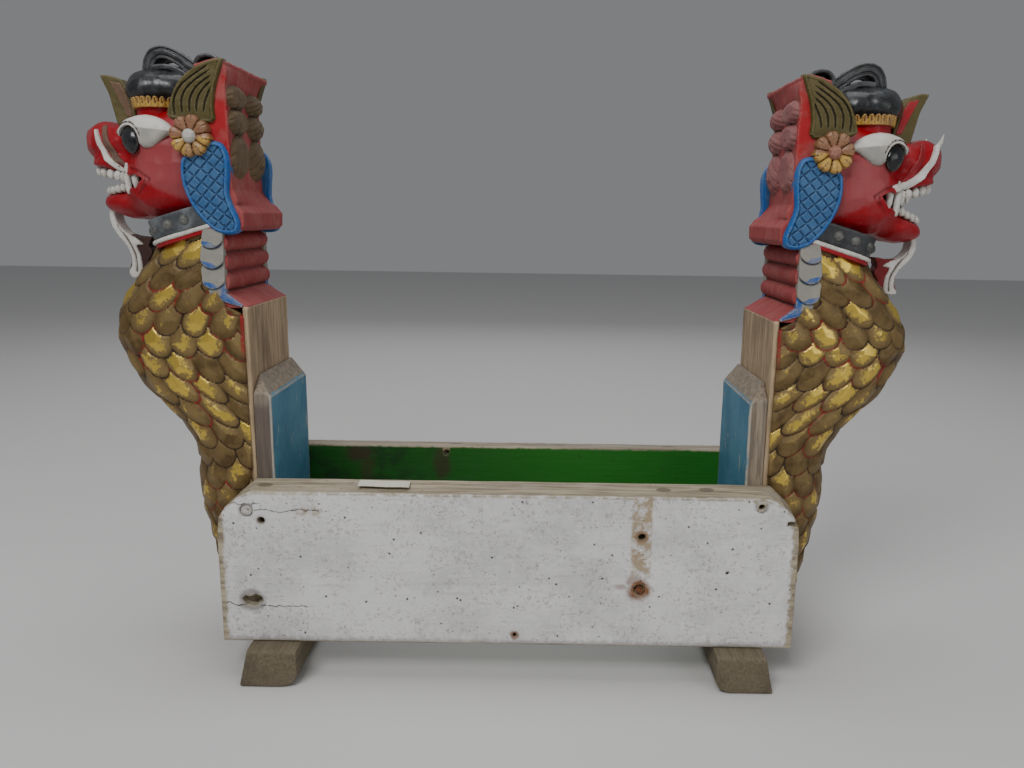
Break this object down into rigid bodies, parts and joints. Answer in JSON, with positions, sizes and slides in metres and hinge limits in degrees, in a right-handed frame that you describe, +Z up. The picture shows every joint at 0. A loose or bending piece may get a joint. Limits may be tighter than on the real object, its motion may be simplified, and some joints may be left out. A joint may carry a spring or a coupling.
{
  "type": "carved dragon cradle rest",
  "caption": "Rest made of two carved dragon posts held between two painted boards on two runner feet, open at the top and between the boards.",
  "frame": {"origin": "middle of the footprint, on the floor under the feet", "axes": "+X along the boards to the right, +Y to the back, +Z up"},
  "size_m": [0.862, 0.24, 0.6211],
  "materials": {
    "white_plank": "worn white paint over weathered wood",
    "green_plank": "green paint inside, worn white paint outside",
    "blue_block": "worn blue paint on the inner face, bare wood edges",
    "bare_timber": "unpainted weathered wood",
    "painted_carving": "gold scales, red head and mane, bare wood inner face",
    "black_gloss": "glossy black paint",
    "olive_carving": "olive paint, incised veins",
    "gilt_rosette": "worn gold leaf",
    "blue_carving": "bright blue paint, incised lattice",
    "white_carving": "white paint, red back edge",
    "rusted_iron": "rusted"
  },
  "bodies": {
    "root": {"front_board": "white_plank", "rear_board": "green_plank", "rusty_nail": "rusted_iron", "left_dragon_post": "painted_carving", "left_cheek_block": "blue_block", "left_foot_runner": "bare_timber", "left_crown": "black_gloss", "left_beard": "white_carving", "left_ear_near": "olive_carving", "left_rosette_near": "gilt_rosette", "left_flap_near": "blue_carving", "left_near_upper_peg": "bare_timber", "left_near_lower_peg": "bare_timber", "left_ear_far": "olive_carving", "left_rosette_far": "gilt_rosette", "left_flap_far": "blue_carving", "left_far_upper_peg": "bare_timber", "left_far_lower_peg": "bare_timber", "right_dragon_post": "painted_carving", "right_cheek_block": "blue_block", "right_foot_runner": "bare_timber", "right_crown": "black_gloss", "right_beard": "white_carving", "right_ear_near": "olive_carving", "right_rosette_near": "gilt_rosette", "right_flap_near": "blue_carving", "right_near_upper_peg": "bare_timber", "right_near_lower_peg": "bare_timber", "right_ear_far": "olive_carving", "right_rosette_far": "gilt_rosette", "right_flap_far": "blue_carving", "right_far_upper_peg": "bare_timber", "right_far_lower_peg": "bare_timber"}
  },
  "joints": []
}
